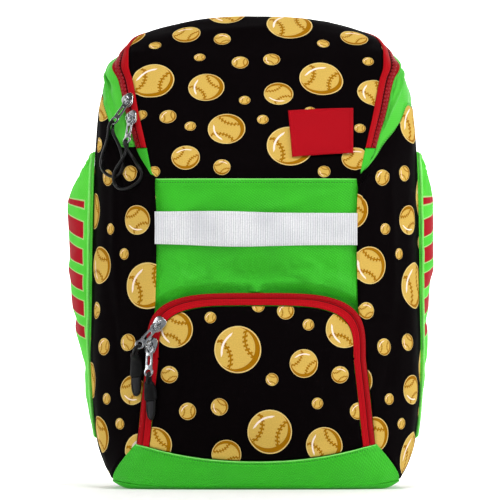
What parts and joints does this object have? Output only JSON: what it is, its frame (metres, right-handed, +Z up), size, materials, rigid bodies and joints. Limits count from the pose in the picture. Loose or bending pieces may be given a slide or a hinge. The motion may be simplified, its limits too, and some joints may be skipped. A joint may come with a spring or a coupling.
{
  "type": "t-ball bag",
  "caption": "Soft upright youth bat backpack with a zipped sloping lid, an arched zipped front pocket, bat sleeves on both sides, padded shoulder straps and a haul loop.",
  "frame": {"origin": "middle of the flat base's underside, on the floor", "axes": "-Y is the front with the pocket, +X is the viewer's right from the front, +Z is up"},
  "size_m": [0.322, 0.2478, 0.4199],
  "materials": {
    "print_cloth": "dark printed polyester weave with a scattered ball pattern",
    "green_cloth": "neon green polyester weave",
    "back_padding": "black padded polyester",
    "zip_tape": "red zip tape",
    "white_webbing": "white woven webbing",
    "black_webbing": "black woven webbing",
    "red_patch": "red stitched patch",
    "zip_metal": "bright nickel-plated zinc",
    "buckle_plastic": "black moulded acetal",
    "pull_cord": "black braided cord"
  },
  "bodies": {
    "root": {"side_panel_right": "print_cloth", "yoke_right": "green_cloth", "bat_sleeve_right": "green_cloth", "zip_garage_right": "green_cloth", "shoulder_strap_right": "back_padding", "strap_buckle_right": "buckle_plastic", "strap_webbing_right": "black_webbing", "side_panel_left": "print_cloth", "yoke_left": "green_cloth", "bat_sleeve_left": "green_cloth", "zip_garage_left": "green_cloth", "shoulder_strap_left": "back_padding", "strap_buckle_left": "buckle_plastic", "strap_webbing_left": "black_webbing", "lid_panel": "print_cloth", "pocket_panel": "print_cloth", "front_panel": "green_cloth", "front_boot": "green_cloth", "base_panel": "green_cloth", "back_panel": "back_padding", "lid_zipper": "zip_tape", "pocket_zipper": "zip_tape", "webbing_band": "white_webbing", "front_patch": "red_patch", "haul_loop": "black_webbing", "lid_upper_slider": "zip_metal", "lid_upper_pull": "zip_metal", "lid_upper_cord": "pull_cord", "lid_lower_slider": "zip_metal", "lid_lower_pull": "zip_metal", "lid_lower_cord": "pull_cord", "pocket_upper_slider": "zip_metal", "pocket_upper_pull": "zip_metal", "pocket_upper_cord": "pull_cord", "pocket_lower_slider": "zip_metal", "pocket_lower_pull": "zip_metal", "pocket_lower_cord": "pull_cord"}
  },
  "joints": []
}
